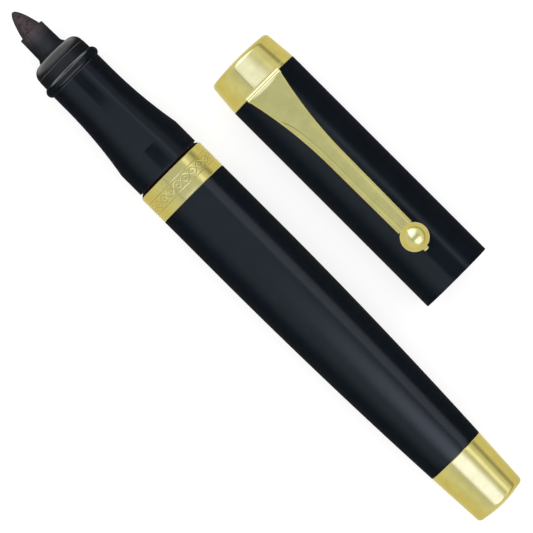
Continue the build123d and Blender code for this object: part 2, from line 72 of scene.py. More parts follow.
# ---- turned shapes ----
def rounded(before, corner, after, radius):
    """Points of the arc that rounds a corner between two straight edges."""
    corner = Vector(corner)
    incoming = (Vector(before) - corner).normalized()
    outgoing = (Vector(after) - corner).normalized()
    half_angle = incoming.angle(outgoing) / 2
    reach = radius / math.tan(half_angle)
    centre = corner + (incoming + outgoing).normalized() * (radius / math.sin(half_angle))
    start = corner + incoming * reach - centre
    end = corner + outgoing * reach - centre
    turn = start.angle_signed(end)
    points = []
    for step in range(ARC_STEPS + 1):
        angle = -turn * step / ARC_STEPS
        x = start.x * math.cos(angle) - start.y * math.sin(angle)
        y = start.x * math.sin(angle) + start.y * math.cos(angle)
        points.append((centre.x + x, centre.y + y))
    return points


def outline(*corners):
    """Closed half outline from (x, radius) points, or (x, radius, rounding) for a rounded corner."""
    points = []
    for place, corner in enumerate(corners):
        if len(corner) == 2:
            points.append(corner)
        else:
            before = corners[place - 1][:2]
            after = corners[(place + 1) % len(corners)][:2]
            points.extend(rounded(before, corner[:2], after, corner[2]))
    return points


def bezier(start, start_handle, end_handle, end, count=16):
    """Points on a cubic curve, with both its ends."""
    knots = [Vector((x, y, 0)) for x, y in (start, start_handle, end_handle, end)]
    return [(p.x, p.y) for p in interpolate_bezier(*knots, count)]


def parabola(start, end, count=48):
    """Points on a curve that leaves its start parallel to the axis."""
    drop = end[1] - start[1]
    shares = [n / count for n in range(count + 1)]
    return [(start[0] + (end[0] - start[0]) * s, start[1] + drop * s * s) for s in shares]


def arc(start, middle, end, count=12):
    """Points on the circle through three points, with both its ends."""
    a, b, c = Vector(start), Vector(middle), Vector(end)
    d = 2 * (a.x * (b.y - c.y) + b.x * (c.y - a.y) + c.x * (a.y - b.y))
    squares = (a.length_squared, b.length_squared, c.length_squared)
    x = (squares[0] * (b.y - c.y) + squares[1] * (c.y - a.y) + squares[2] * (a.y - b.y)) / d
    y = (squares[0] * (c.x - b.x) + squares[1] * (a.x - c.x) + squares[2] * (b.x - a.x)) / d
    radius = (a - Vector((x, y))).length
    first, last = math.atan2(a.y - y, a.x - x), math.atan2(c.y - y, c.x - x)
    sweep = (last - first + math.pi) % (2 * math.pi) - math.pi
    angles = [first + sweep * n / count for n in range(count + 1)]
    return [(x + radius * math.cos(t), y + radius * math.sin(t)) for t in angles]


def rows(start, end, radius, count):
    """Evenly spaced points along a cylinder, for a stretch that is shaped further."""
    return [(start + (end - start) * n / count, radius) for n in range(count + 1)]


def add_turned(bm, points, segments=SEGMENTS, shape=None):
    """Adds a closed solid of revolution about the X axis; shape may change each point's radius."""
    rings = []
    for x, radius in points:
        if radius < ON_AXIS:
            rings.append([bm.verts.new((x, 0, 0))])
            continue
        ring = []
        for n in range(segments):
            angle = 2 * math.pi * n / segments
            r = shape(x, angle, radius) if shape else radius
            ring.append(bm.verts.new((x, r * math.cos(angle), r * math.sin(angle))))
        rings.append(ring)
    for ring, following in zip(rings, rings[1:] + rings[:1]):
        for n in range(segments):
            after = (n + 1) % segments
            corners = []
            for vertex in (ring[n % len(ring)], ring[after % len(ring)],
                           following[after % len(following)], following[n % len(following)]):
                if vertex not in corners:
                    corners.append(vertex)
            if len(corners) > 2:
                bm.faces.new(corners)


def add_loft(bm, rings):
    """Adds a closed solid through cross-sections that all have the same number of points."""
    loops = [[bm.verts.new(point) for point in ring] for ring in rings]
    for loop, following in zip(loops, loops[1:]):
        for n in range(len(loop)):
            after = (n + 1) % len(loop)
            bm.faces.new((loop[n], loop[after], following[after], following[n]))
    bm.faces.new(loops[0])
    bm.faces.new(list(reversed(loops[-1])))


def finish_piece(bm, name, place=Matrix()):
    """Makes an object from the mesh, with smooth shading and even normals."""
    bmesh.ops.recalc_face_normals(bm, faces=bm.faces)
    bm.transform(place)
    mesh = bpy.data.meshes.new(name)
    bm.to_mesh(mesh)
    bm.free()
    mesh.shade_smooth()
    mesh.set_sharp_from_angle(angle=SHARP)
    piece = bpy.data.objects.new(name, mesh)
    bpy.context.scene.collection.objects.link(piece)
    even = piece.modifiers.new("even_normals", "WEIGHTED_NORMAL")
    even.keep_sharp = True
    return piece


def turned(name, points, place=Matrix(), segments=SEGMENTS, shape=None):
    bm = bmesh.new()
    add_turned(bm, points, segments, shape)
    return finish_piece(bm, name, place)


def stand_for(piece, node, material):
    """The piece takes a CAD node's place: it rides the node's body, the node is hidden and the piece takes the
    material.
    """
    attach(piece, body_names[node])
    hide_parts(node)
    piece.data.materials.clear()
    piece.data.materials.append(material)
    return piece


slots = {part["node"]: part["material_slot"] for part in frame["record"]["subparts"]}
body_names = {}
for body, nodes in frame["record"]["behaviour"]["bodies"].items():
    for node in nodes:
        body_names[node] = body


# ---- places read from the frame ----
def ends(node):
    """Front and rear station of a node along X, and its radius about the pen's axis."""
    low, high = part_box(node)
    return low.x, high.x, high.z


nib_tip, nib_rear, nib_radius = ends("felt_nib")
collar_front, holder_rear, refill_radius = ends("nib_holder")
nose_front, nose_rear, nose_radius = ends("front_ferrule")
bead_front, seat_rear, seat_radius = ends("grip_section")
liner_front, spigot_rear, spigot_radius = ends("section_liner")
ring_front, ring_rear, ring_radius = ends("section_o_ring")
bush_front, bush_rear, bush_radius = ends("barrel_bush")
band_front, band_rear, barrel_radius = ends("trim_band")
tube_rear = ends("barrel_tube")[1]
tail_front, pen_rear, tail_radius = ends("tail_cap")

cap_low, cap_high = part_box("cap_tube")
cap_front, cap_mouth = cap_low.x, cap_high.x
cap_radius = (cap_high.y - cap_low.y) / 2
crown_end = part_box("cap_crown")[0].x
clip_joint = next(joint for joint in frame["joints"] if joint["name"] == "clip_flex")
cap_roll = math.atan2(-clip_joint["axis"][2], -clip_joint["axis"][1])
cap_place = (
    Matrix.Translation((0, (cap_low.y + cap_high.y) / 2, (cap_low.z + cap_high.z) / 2))
    @ Matrix.Rotation(cap_roll, 4, "X")
)
bar_place = cap_place.inverted() @ Vector(clip_joint["pos_m"])
ball_low, ball_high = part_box("clip_ball")
ball_radius = (ball_high.y - ball_low.y) / 2
ball_place = cap_place.inverted() @ ((ball_low + ball_high) / 2)

# ---- sizes of details, as in the CAD part ----
NIB_LENGTH = 4.95 * MM
NIB_SHANK = 7.00 * MM
NIB_TAIL_RADIUS = 1.60 * MM
COLLAR_RADIUS = 2.73 * MM
COLLAR_TAPER = 0.10 * MM
COLLAR_ROOT_RADIUS = 3.23 * MM
COLLAR_ROOT_START = 1.10 * MM   # the root's flare, ahead of the nose
COLLAR_ROOT_END = 0.25 * MM
FLANGE_LENGTH = 1.00 * MM
REFILL_WALL = 0.50 * MM
NOSE_BORE = 3.28 * MM
NOSE_LIP = 0.35 * MM
NOSE_FLOOR = 2.65 * MM
NOSE_CREASE = 2.05 * MM     # from the nose's front to the end of its dome
CREASE_STEP = 0.11 * MM     # dome's edge inside the nose cylinder
CREASE_DEPTH = 0.15 * MM
DOME_REACH, DOME_RISE = 0.34, 0.75  # shares of the dome's length and rise at its middle point
BEAD_WIDTH = 2.00 * MM
BEAD_RADIUS = 6.37 * MM
NECK_RADIUS = 5.78 * MM
NECK_LENGTH = 3.20 * MM
SEAT_LENGTH = 5.10 * MM
SHOULDER_DEPTH = 3.20 * MM
LINER_RADIUS = 4.95 * MM
LINER_BORE = 4.35 * MM
RING_GROOVE_RADIUS = 6.85 * MM
RING_SLACK = 0.02 * MM      # room beside the rubber ring in its groove
BUSH_BORE = 5.85 * MM
TUBE_BORE = 6.81 * MM
BARREL_STRAIGHT = 14.00 * MM
BARREL_END_RADIUS = 6.22 * MM
REAR_BORE = 5.42 * MM
REAR_BORE_LENGTH = 9.40 * MM
REAR_BORE_STEP = 0.35 * MM
TAIL_END_RADIUS = 5.58 * MM
TAIL_SPIGOT_RADIUS = 4.62 * MM
TAIL_SPIGOT = 6.60 * MM
TAIL_CAVITY = 4.00 * MM
TAIL_CAVITY_STEP = 0.50 * MM
TAIL_DOME = 0.55 * MM
TAIL_FILLET = 0.90 * MM
CAP_BORE = 7.27 * MM
CAP_REAR_BORE = 7.02 * MM
CAP_END_WALL = 0.60 * MM
CAP_MOUTH_BORE_LENGTH = 20.00 * MM
CROWN_LENGTH = 6.40 * MM
CROWN_RADIUS = 7.60 * MM
CROWN_END_RADIUS = 7.12 * MM
CROWN_DOME = 0.35 * MM
CROWN_FILLET = 1.00 * MM
CROWN_WALL = 1.10 * MM
CROWN_TOP = 1.80 * MM       # thickness of the crown's end outside its boss
CROWN_BOSS_RADIUS = 3.15 * MM
SCREW_RADIUS = 1.45 * MM
SCREW_END = 2.00 * MM       # from the crown's end to the bottom of its screw hole
CLIP_RING_THICKNESS = 0.60 * MM
BAR_RADIUS = 0.60 * MM
BAR_GAP = 0.05 * MM
BAR_END = 150               # degrees up to which the bar is round; the ear's face follows
BAR_STEPS = 32
EAR_ROOT = 0.30 * MM
CLIP_ROOT_WIDTH = 8.36 * MM
CLIP_WAIST_WIDTH = 3.66 * MM
CLIP_END_WIDTH = 3.36 * MM
CLIP_FLARE = 20.00 * MM
CLIP_THICKNESS = 1.00 * MM
CLIP_CROWN = 0.34 * MM      # rise of the blade's face from its shoulders to its middle
CLIP_ROOT_CROWN = 0.45      # share of that rise at the root
CLIP_FACE_STEPS = 18
CLIP_ROLLOVER = 0.42 * MM   # width of the rounded shoulder
CLIP_ROLLOVER_DROP = 0.30 * MM
ROLLOVER_ANGLES = (0, 18, 36, 50, 62, 72, 81, 90)   # closer together towards the face
CLIP_COLLAR_RADIUS = 1.25 * MM
CLIP_COLLAR = 0.60 * MM
STUD_RADIUS = 0.80 * MM
NUB_RADIUS = 0.53 * MM
NUB_LENGTH = 0.50 * MM
THREAD_PITCH = 1.00 * MM
THREAD_GAP = 0.10 * MM      # from the rubber ring to the first turn
THREAD_RUNOUT = 0.90 * MM   # from the last turn to the spigot's end
THREAD_DEPTH = 0.32 * MM
THREAD_STEEPNESS = 2.6      # depths that a flank rises in one pitch
THREAD_ROOT = 0.15          # flat bottom of the groove, in depths
EDGE = 0.05 * MM            # rounding of a machined edge
SOFT_EDGE = 0.12 * MM       # rounding of a moulded or polished edge

ball_centre_x = ball_low.x + math.sqrt(ball_radius**2 - CLIP_COLLAR_RADIUS**2)
blade_length = ball_centre_x - ball_radius + CLIP_COLLAR / 2 - bar_place.x


# ---- camera ----
CAMERA_HEIGHT = 1.17        # metres over the pen's axis, looking straight down
CAMERA_AIM_X = 28.65 * MM
CAMERA_TURN = math.radians(45)
SENSOR = 36.0               # width in millimetres
LENS = 422.0


def make_camera():
    data = bpy.data.cameras.new("camera")
    data.sensor_width = SENSOR
    data.lens = LENS
    camera = bpy.data.objects.new("camera", data)
    camera.location = (CAMERA_AIM_X, 0, CAMERA_HEIGHT)
    camera.rotation_euler = (0, 0, CAMERA_TURN)
    bpy.context.scene.collection.objects.link(camera)
    bpy.context.scene.camera = camera


# ---- node helpers ----
def add_node(tree, kind, settings=None, **inputs):
    """Adds a node, sets its properties, and sets or links its inputs by name."""
    node = tree.nodes.new(kind)
    for key, value in (settings or {}).items():
        setattr(node, key, value)
    for key, value in inputs.items():
        socket = node.inputs[int(key[1:])] if key[0] == "_" else node.inputs[key.replace("_", " ")]
        if isinstance(value, bpy.types.NodeSocket):
            tree.links.new(value, socket)
        else:
            socket.default_value = value
    return node


def grain(tree, scale, detail=3.0, roughness=0.55, stretch=(1, 1, 1)):
    """Noise over the piece, with scale in features per millimetre along each axis."""
    coordinates = add_node(tree, "ShaderNodeTexCoord").outputs["Object"]
    per_metre = [1000 * scale * share for share in stretch]
    mapping = add_node(tree, "ShaderNodeMapping", None, Vector=coordinates, Scale=per_metre)
    texture = add_node(tree, "ShaderNodeTexNoise", None, Vector=mapping.outputs["Vector"],
                       Scale=1.0, Detail=detail, Roughness=roughness)
    return texture.outputs["Fac"]


def scaled(tree, value, low, high, start=0.3, end=0.7):
    """Maps a value from its range onto low to high."""
    node = add_node(tree, "ShaderNodeMapRange", None, Value=value, From_Min=start, From_Max=end,
                    To_Min=low, To_Max=high)
    return node.outputs["Result"]


def blended(tree, share, first, second):
    """Colour between first and second by share."""
    node = add_node(tree, "ShaderNodeMix", {"data_type": "RGBA"}, _0=share, _6=first, _7=second)
    return node.outputs[2]


def bumped(tree, shader, height, distance):
    """Raises and lowers the surface by the height, up to the distance."""
    node = add_node(tree, "ShaderNodeBump", None, Height=height, Distance=distance, Strength=1.0)
    tree.links.new(node.outputs["Normal"], shader.inputs["Normal"])


def new_material(name, **values):
    """A material with one Principled shader; values set its own sockets."""
    material = bpy.data.materials.new(name)
    material.use_nodes = True
    tree = material.node_tree
    tree.nodes.clear()
    shader = add_node(tree, "ShaderNodeBsdfPrincipled", None, **values)
    add_node(tree, "ShaderNodeOutputMaterial", None, Surface=shader.outputs["BSDF"])
    return material, tree, shader


def colour(red, green, blue):
    return (red, green, blue, 1.0)


# ---- materials ----
def gold(name, tint, rough=0.08):
    """Polished gold plate with faint handling marks, and a paler tone where it is rubbed."""
    material, tree, shader = new_material(name, Metallic=1.0, IOR=1.45)
    cloud = grain(tree, 0.35, detail=2.0)
    pale = colour(*[min(1.0, channel * 1.05 + 0.012) for channel in tint])
    deep = colour(*[channel * 0.95 for channel in tint])
    tree.links.new(blended(tree, scaled(tree, cloud, 0, 1), pale, deep), shader.inputs["Base Color"])
    handling = grain(tree, 1.1, detail=3.0, stretch=(0.4, 1.2, 1.2))
    tree.links.new(scaled(tree, handling, rough * 0.8, rough * 1.35), shader.inputs["Roughness"])
    bumped(tree, shader, grain(tree, 0.5, detail=0.0), 0.0008 * MM)
    return material


def engraved_gold(name, tint):
    """Gold plate whose engraved lines are darkened with painted shade, standing in for the shade inside the cuts.
    """
    material, tree, shader = new_material(name, Metallic=1.0, IOR=1.45)
    depth = add_node(tree, "ShaderNodeAttribute", {"attribute_name": "engraving"}).outputs["Fac"]
    cloud = grain(tree, 0.5, detail=2.0)
    bright = blended(tree, scaled(tree, cloud, 0, 1), colour(*tint),
                     colour(*[channel * 0.94 for channel in tint]))
    # painted shade: the engraved lines are blended towards this darker gold, in place of the shade inside the cuts
    dark = colour(*[channel * 0.62 for channel in tint])
    tree.links.new(blended(tree, scaled(tree, depth, 0, 1, 0.15, 0.9), bright, dark),
                   shader.inputs["Base Color"])
    fine = grain(tree, 7.0, detail=3.0, stretch=(0.3, 1.5, 1.5))
    tree.links.new(scaled(tree, fine, 0.09, 0.17), shader.inputs["Roughness"])
    bumped(tree, shader, fine, 0.0006 * MM)
    return material


def lacquer(name, tint, rough, level=0.5):
    """Deep black gloss with a trace of orange peel, hairlines and dust-dulled patches."""
    material, tree, shader = new_material(name, IOR=1.5, Specular_IOR_Level=level)
    depth = grain(tree, 0.25, detail=2.0)
    tree.links.new(blended(tree, scaled(tree, depth, 0, 1), colour(*tint),
                           colour(*[channel * 1.25 for channel in tint])), shader.inputs["Base Color"])
    hairlines = grain(tree, 5.0, detail=5.0, stretch=(0.12, 1.8, 1.8))
    tree.links.new(scaled(tree, hairlines, rough * 0.7, rough * 1.6), shader.inputs["Roughness"])
    bumped(tree, shader, grain(tree, 0.8, detail=1.0), 0.0015 * MM)
    return material


def moulded(name, tint, rough, level=0.5, texture=0.004):
    """Moulded plastic with a fine sandy surface and slight colour flow."""
    material, tree, shader = new_material(name, IOR=1.5, Specular_IOR_Level=level)
    flow = grain(tree, 0.4, detail=3.0, stretch=(0.4, 1, 1))
    tree.links.new(blended(tree, scaled(tree, flow, 0, 1), colour(*tint),
                           colour(*[channel * 1.22 for channel in tint])), shader.inputs["Base Color"])
    sand = grain(tree, 9.0, detail=3.0)
    tree.links.new(scaled(tree, sand, rough * 0.85, rough * 1.2), shader.inputs["Roughness"])
    bumped(tree, shader, sand, texture * MM)
    return material


def stained_collar():
    """Satin collar plastic with a painted warm reflection that browns and lightens it towards the nib."""
    material, tree, shader = new_material("collar_plastic", IOR=1.5, Specular_IOR_Level=0.45)
    position = add_node(tree, "ShaderNodeTexCoord").outputs["Object"]
    along = add_node(tree, "ShaderNodeSeparateXYZ", None, Vector=position).outputs["X"]
    ragged = scaled(tree, grain(tree, 0.9, detail=4.0, stretch=(0.5, 1.4, 1.4)), -0.6 * MM, 0.6 * MM)
    edge = add_node(tree, "ShaderNodeMath", {"operation": "ADD"}, _0=along, _1=ragged).outputs[0]
    # painted reflection: a ragged-edged share that runs from the nib end back about 3 mm
    painted_reflection = scaled(tree, edge, 1, 0, collar_front + 0.9 * MM, collar_front + 2.9 * MM)
    clean = blended(tree, scaled(tree, grain(tree, 1.2), 0, 1), colour(0.010, 0.012, 0.016),
                    colour(0.016, 0.018, 0.023))
    # colour of the painted warm reflection, browner and lighter than the plain plastic
    reflection_tint = blended(tree, scaled(tree, grain(tree, 2.2, detail=4.0), 0, 1), colour(0.034, 0.025, 0.027),
                    colour(0.080, 0.060, 0.064))
    tree.links.new(blended(tree, painted_reflection, clean, reflection_tint), shader.inputs["Base Color"])
    sand = grain(tree, 8.0, detail=3.0)
    tree.links.new(scaled(tree, sand, 0.38, 0.55), shader.inputs["Roughness"])
    bumped(tree, shader, sand, 0.006 * MM)
    return material


def felt(name, dark, light, sheen=0.25):
    """Dense bonded fibre that runs along the nib, mottled with dried ink."""
    material, tree, shader = new_material(name, IOR=1.4, Specular_IOR_Level=0.2, Sheen_Weight=sheen,
                                          Sheen_Roughness=0.5)
    fibres = grain(tree, 7.0, detail=5.0, roughness=0.7, stretch=(0.18, 1.5, 1.5))
    mottle = grain(tree, 1.6, detail=4.0)
    mixed = add_node(tree, "ShaderNodeMath", {"operation": "ADD"}, _0=fibres, _1=mottle).outputs[0]
    tree.links.new(blended(tree, scaled(tree, mixed, 0, 1, 0.75, 1.25), colour(*dark), colour(*light)),
                   shader.inputs["Base Color"])
    tree.links.new(scaled(tree, fibres, 0.75, 0.95), shader.inputs["Roughness"])
    bumped(tree, shader, fibres, 0.05 * MM)
    return material


def turned_metal(name, tint, rough=0.22):
    """Machined metal with fine turning marks across its axis."""
    material, tree, shader = new_material(name, Metallic=1.0, IOR=1.5)
    marks = grain(tree, 14.0, detail=3.0, stretch=(2.0, 0.05, 0.05))
    patina = grain(tree, 0.6, detail=3.0)
    tree.links.new(blended(tree, scaled(tree, patina, 0, 1), colour(*tint),
                           colour(*[channel * 0.78 for channel in tint])), shader.inputs["Base Color"])
    tree.links.new(scaled(tree, marks, rough * 0.7, rough * 1.5), shader.inputs["Roughness"])
    bumped(tree, shader, marks, 0.004 * MM)
    return material


def rubber(name, tint):
    """Matt elastomer with a bloom of paler dust."""
    material, tree, shader = new_material(name, IOR=1.45, Specular_IOR_Level=0.35, Sheen_Weight=0.08)
    bloom = grain(tree, 1.8, detail=5.0)
    tree.links.new(blended(tree, scaled(tree, bloom, 0, 1), colour(*tint),
                           colour(*[channel * 1.6 + 0.004 for channel in tint])), shader.inputs["Base Color"])
    sand = grain(tree, 11.0, detail=3.0)
    tree.links.new(scaled(tree, sand, 0.6, 0.8), shader.inputs["Roughness"])
    bumped(tree, shader, sand, 0.008 * MM)
    return material


GOLD = (0.78, 0.66, 0.23)
BLACK = (0.0042, 0.0068, 0.0105)
BRASS = (0.72, 0.54, 0.25)

materials = {
    "felt": felt("felt", (0.022, 0.015, 0.017), (0.110, 0.083, 0.088), 0.04),
    "collar_plastic": stained_collar(),
    "nose_plastic": moulded("nose_plastic", (0.0060, 0.0075, 0.0100), 0.30, texture=0.0005),
    "black_resin": lacquer("black_resin", BLACK, 0.055),
    "thread_brass": turned_metal("thread_brass", BRASS),
    "black_rubber": rubber("black_rubber", (0.012, 0.012, 0.013)),
    "refill_plastic": moulded("refill_plastic", (0.74, 0.74, 0.71), 0.3),
    "reservoir_fibre": felt("reservoir_fibre", (0.020, 0.018, 0.022), (0.075, 0.065, 0.075)),
    "wrap_film": moulded("wrap_film", (0.70, 0.70, 0.68), 0.18, texture=0.002),
    "plug_plastic": moulded("plug_plastic", (0.085, 0.085, 0.09), 0.4),
    "spring_steel": turned_metal("spring_steel", (0.60, 0.60, 0.60), 0.25),
    "black_lacquer": lacquer("black_lacquer", BLACK, 0.045),
    "bush_black": turned_metal("bush_black", (0.030, 0.032, 0.036), 0.3),
    "gold_band": engraved_gold("gold_band", GOLD),
    "gold_plate": gold("gold_plate", GOLD),
    "plug_brass": turned_metal("plug_brass", BRASS),
    "gold_clip": gold("gold_clip", (0.78, 0.67, 0.24), 0.05),
    "liner_plastic": moulded("liner_plastic", (0.030, 0.030, 0.033), 0.35),
    "seal_elastomer": rubber("seal_elastomer", (0.085, 0.085, 0.088)),
    "screw_steel": turned_metal("screw_steel", (0.55, 0.55, 0.56), 0.28),
}


# ---- nib, nose and grip ----
def felt_nib():
    """Bullet of bonded fibre, slightly uneven, with its shank and tail inside the holder."""
    collar = nib_tip + NIB_LENGTH
    shank_end = collar + NIB_SHANK
    unevenness, grooves = 0.030 * MM, 0.022 * MM
    tip_handle = (nib_tip, 0.75 * MM)
    side_handle = (nib_tip + 2.2 * MM, 1.60 * MM)
    side = bezier((nib_tip, 0), tip_handle, side_handle, (collar, nib_radius - unevenness), 60)
    points = outline(
        *side,
        (shank_end, nib_radius - unevenness),
        (shank_end, NIB_TAIL_RADIUS),
        (nib_rear, NIB_TAIL_RADIUS),
        (nib_rear, 0),
    )

    def fibres(x, angle, radius):
        if x > collar or radius <= NIB_TAIL_RADIUS / 4:
            return radius
        direction = Vector((x / MM * 0.5, math.cos(angle) * 2.2, math.sin(angle) * 2.2))
        streaks = Vector((x / MM * 0.35, math.cos(angle) * 14, math.sin(angle) * 14))
        swell = noise.noise(direction) * unevenness
        return radius + swell + noise.noise(streaks) * grooves - grooves / 2

    return turned("felt_nib", points, segments=240, shape=fibres)


def nib_holder():
    """Collar round the nib, with a flared root, a flange behind the nose and a plug into the refill."""
    flare = nose_front - COLLAR_ROOT_START
    root = nose_front - COLLAR_ROOT_END
    floor = nose_front + NOSE_FLOOR
    tube_front = floor + FLANGE_LENGTH
    shank_end = collar_front + NIB_SHANK
    plug_radius = refill_radius - REFILL_WALL
    root_curve = parabola((flare, COLLAR_RADIUS + COLLAR_TAPER), (root, COLLAR_ROOT_RADIUS), 10)
    points = outline(
        (collar_front, nib_radius),
        (collar_front, COLLAR_RADIUS, SOFT_EDGE),
        *root_curve,
        (floor, COLLAR_ROOT_RADIUS),
        (floor, refill_radius, EDGE),
        (tube_front, refill_radius),
        (tube_front, plug_radius),
        (holder_rear, plug_radius, EDGE),
        (holder_rear, NIB_TAIL_RADIUS),
        (shank_end, NIB_TAIL_RADIUS),
        (shank_end, nib_radius),
    )
    return turned("nib_holder", points)


def front_ferrule():
    lip = (nose_front, NOSE_BORE + NOSE_LIP)
    crease = (nose_front + NOSE_CREASE, nose_radius - CREASE_STEP)
    middle = (lip[0] + DOME_REACH * NOSE_CREASE, lip[1] + DOME_RISE * (crease[1] - lip[1]))
    floor = nose_front + NOSE_FLOOR
    points = outline(
        *arc(lip, middle, crease, 24),
        (crease[0] + 0.04 * MM, nose_radius - CREASE_DEPTH),
        (crease[0] + 0.09 * MM, nose_radius - CREASE_DEPTH),
        (crease[0] + 0.14 * MM, nose_radius - 0.06 * MM, EDGE / 2),
        (bead_front, nose_radius, EDGE),
        (bead_front, LINER_RADIUS),
        (nose_rear, LINER_RADIUS),
        (nose_rear, LINER_BORE),
        (floor, LINER_BORE),
        (floor, NOSE_BORE),
        (nose_front, NOSE_BORE, EDGE),
    )
    return turned("front_ferrule", points, segments=192)


def grip_section():
    """Bead ring, neck, trumpet flare and cap seat, with the ring groove in its rear face."""
    bead_rear = bead_front + BEAD_WIDTH
    flare_front = bead_rear + NECK_LENGTH
    seat_front = seat_rear - SEAT_LENGTH
    shoulder = seat_rear - SHOULDER_DEPTH
    bead_middle = ((bead_front + bead_rear) / 2, BEAD_RADIUS)
    ridge = arc((bead_front, nose_radius - 0.05 * MM), bead_middle, (bead_rear, NECK_RADIUS - 0.05 * MM), 24)
    points = outline(
        *ridge,
        (bead_rear + 0.08 * MM, NECK_RADIUS, EDGE),
        *parabola((flare_front, NECK_RADIUS), (seat_front, seat_radius)),
        (seat_rear, seat_radius, SOFT_EDGE),
        (seat_rear, RING_GROOVE_RADIUS, EDGE),
        (ring_front - RING_SLACK, RING_GROOVE_RADIUS),
        (ring_front - RING_SLACK, spigot_radius),
        (shoulder, spigot_radius),
        (shoulder, LINER_RADIUS),
        (bead_front, LINER_RADIUS),
    )
    return turned("grip_section", points, segments=256)


def section_liner():
    """Brass sleeve whose rear spigot carries a real helical thread."""
    shoulder = seat_rear - SHOULDER_DEPTH
    thread_front, thread_rear = ring_rear + THREAD_GAP, spigot_rear - THREAD_RUNOUT
    relief = 0.35 * MM
    points = outline(
        (liner_front, LINER_BORE),
        (liner_front, LINER_RADIUS, EDGE),
        (shoulder, LINER_RADIUS),
        (shoulder, spigot_radius),
        *rows(thread_front, thread_rear, spigot_radius, 88),
        (spigot_rear, spigot_radius - relief, EDGE),
        (spigot_rear, LINER_BORE, EDGE),
    )

    def thread(x, angle, radius):
        if not thread_front <= x <= thread_rear or radius < spigot_radius - ON_AXIS:
            return radius
        turn = (x / THREAD_PITCH + angle / (2 * math.pi)) % 1.0
        flank = min(1.0, max(0.0, THREAD_STEEPNESS * abs(turn - 0.5) - THREAD_ROOT))
        fade = min(1.0, (x - thread_front) / THREAD_PITCH, (thread_rear - x) / THREAD_PITCH)
        return radius - THREAD_DEPTH * (1 - flank) * max(0.0, fade)

    return turned("section_liner", points, segments=128, shape=thread)


def section_o_ring():
    wire = (ring_rear - ring_front) / 2
    middle = ((ring_front + ring_rear) / 2, ring_radius - wire)
    angles = [2 * math.pi * n / 24 for n in range(24)]
    points = [(middle[0] + wire * math.cos(t), middle[1] + wire * math.sin(t)) for t in angles]
    return turned("section_o_ring", points)


# ---- barrel ----
def barrel_bush():
    relief = ring_rear + RING_SLACK
    points = outline(
        (relief, BUSH_BORE),
        (bush_rear, BUSH_BORE, EDGE),
        (bush_rear, TUBE_BORE, EDGE),
        (band_front, TUBE_BORE),
        (band_front, bush_radius, EDGE),
        (bush_front, RING_GROOVE_RADIUS + 0.05 * MM, EDGE / 4),
        (bush_front, RING_GROOVE_RADIUS),
        (relief, RING_GROOVE_RADIUS),
    )
    return turned("barrel_bush", points)


def trim_band():
    """Gold band with an engraved chain of almond links, each with a dot, between two fine lines."""
    links, line_width, depth = 24, 0.085 * MM, 0.07 * MM
    swing, border, dot = 0.78 * MM, 1.25 * MM, 0.20 * MM
    middle = (band_front + band_rear) / 2
    zone = border + 3 * line_width
    chamfer = 0.15 * MM
    points = outline(
        (band_front, TUBE_BORE),
        (band_front, barrel_radius - chamfer, EDGE / 2),
        (band_front + chamfer, barrel_radius, EDGE / 2),
        *rows(middle - zone, middle + zone, barrel_radius, 64),
        (band_rear - chamfer, barrel_radius, EDGE / 2),
        (band_rear, barrel_radius - chamfer, EDGE / 2),
        (band_rear, TUBE_BORE),
    )

    def engraving(x, angle):
        """1 in the middle of an engraved line, falling to 0 at its sides."""
        phase = links / 2 * angle
        wave = swing * math.sin(phase)
        slope = swing * links / 2 * math.cos(phase) / barrel_radius
        steepness = math.sqrt(1 + slope * slope)
        across = abs(x - middle)
        to_dot = math.hypot(across, barrel_radius * ((phase / math.pi) % 1.0 - 0.5) * 2 * math.pi / links)
        distance = min(
            abs(x - middle - wave) / steepness,
            abs(x - middle + wave) / steepness,
            abs(across - border),
            max(0.0, to_dot - dot + line_width),
        )
        return max(0.0, 1 - (distance / line_width) ** 2)

    def cut(x, angle, radius):
        if abs(x - middle) > zone + ON_AXIS or radius < barrel_radius - ON_AXIS:
            return radius
        return radius - depth * engraving(x, angle)

    band = turned("trim_band", points, segments=960, shape=cut)
    mask = band.data.attributes.new("engraving", "FLOAT", "POINT")
    for vertex in band.data.vertices:
        x, y, z = vertex.co
        outer = math.hypot(y, z) > barrel_radius - 2 * depth
        inside = outer and abs(x - middle) <= zone
        mask.data[vertex.index].value = engraving(x, math.atan2(z, y) % (2 * math.pi)) if inside else 0.0
    return band


def barrel_tube():
    taper_start = band_rear + BARREL_STRAIGHT
    bore_end = (tube_rear - REAR_BORE_LENGTH, REAR_BORE + REAR_BORE_STEP)
    outside = parabola((taper_start, barrel_radius), (tube_rear - 0.1 * MM, BARREL_END_RADIUS + 0.005 * MM))
    inside = parabola((taper_start, TUBE_BORE), bore_end, 24)
    points = outline(
        (band_rear, TUBE_BORE),
        (band_rear, barrel_radius, SOFT_EDGE),
        *outside,
        (tube_rear, BARREL_END_RADIUS - 0.08 * MM),
        (tube_rear, REAR_BORE),
        (bore_end[0], REAR_BORE),
        *reversed(inside),
    )
    return turned("barrel_tube", points, segments=256)


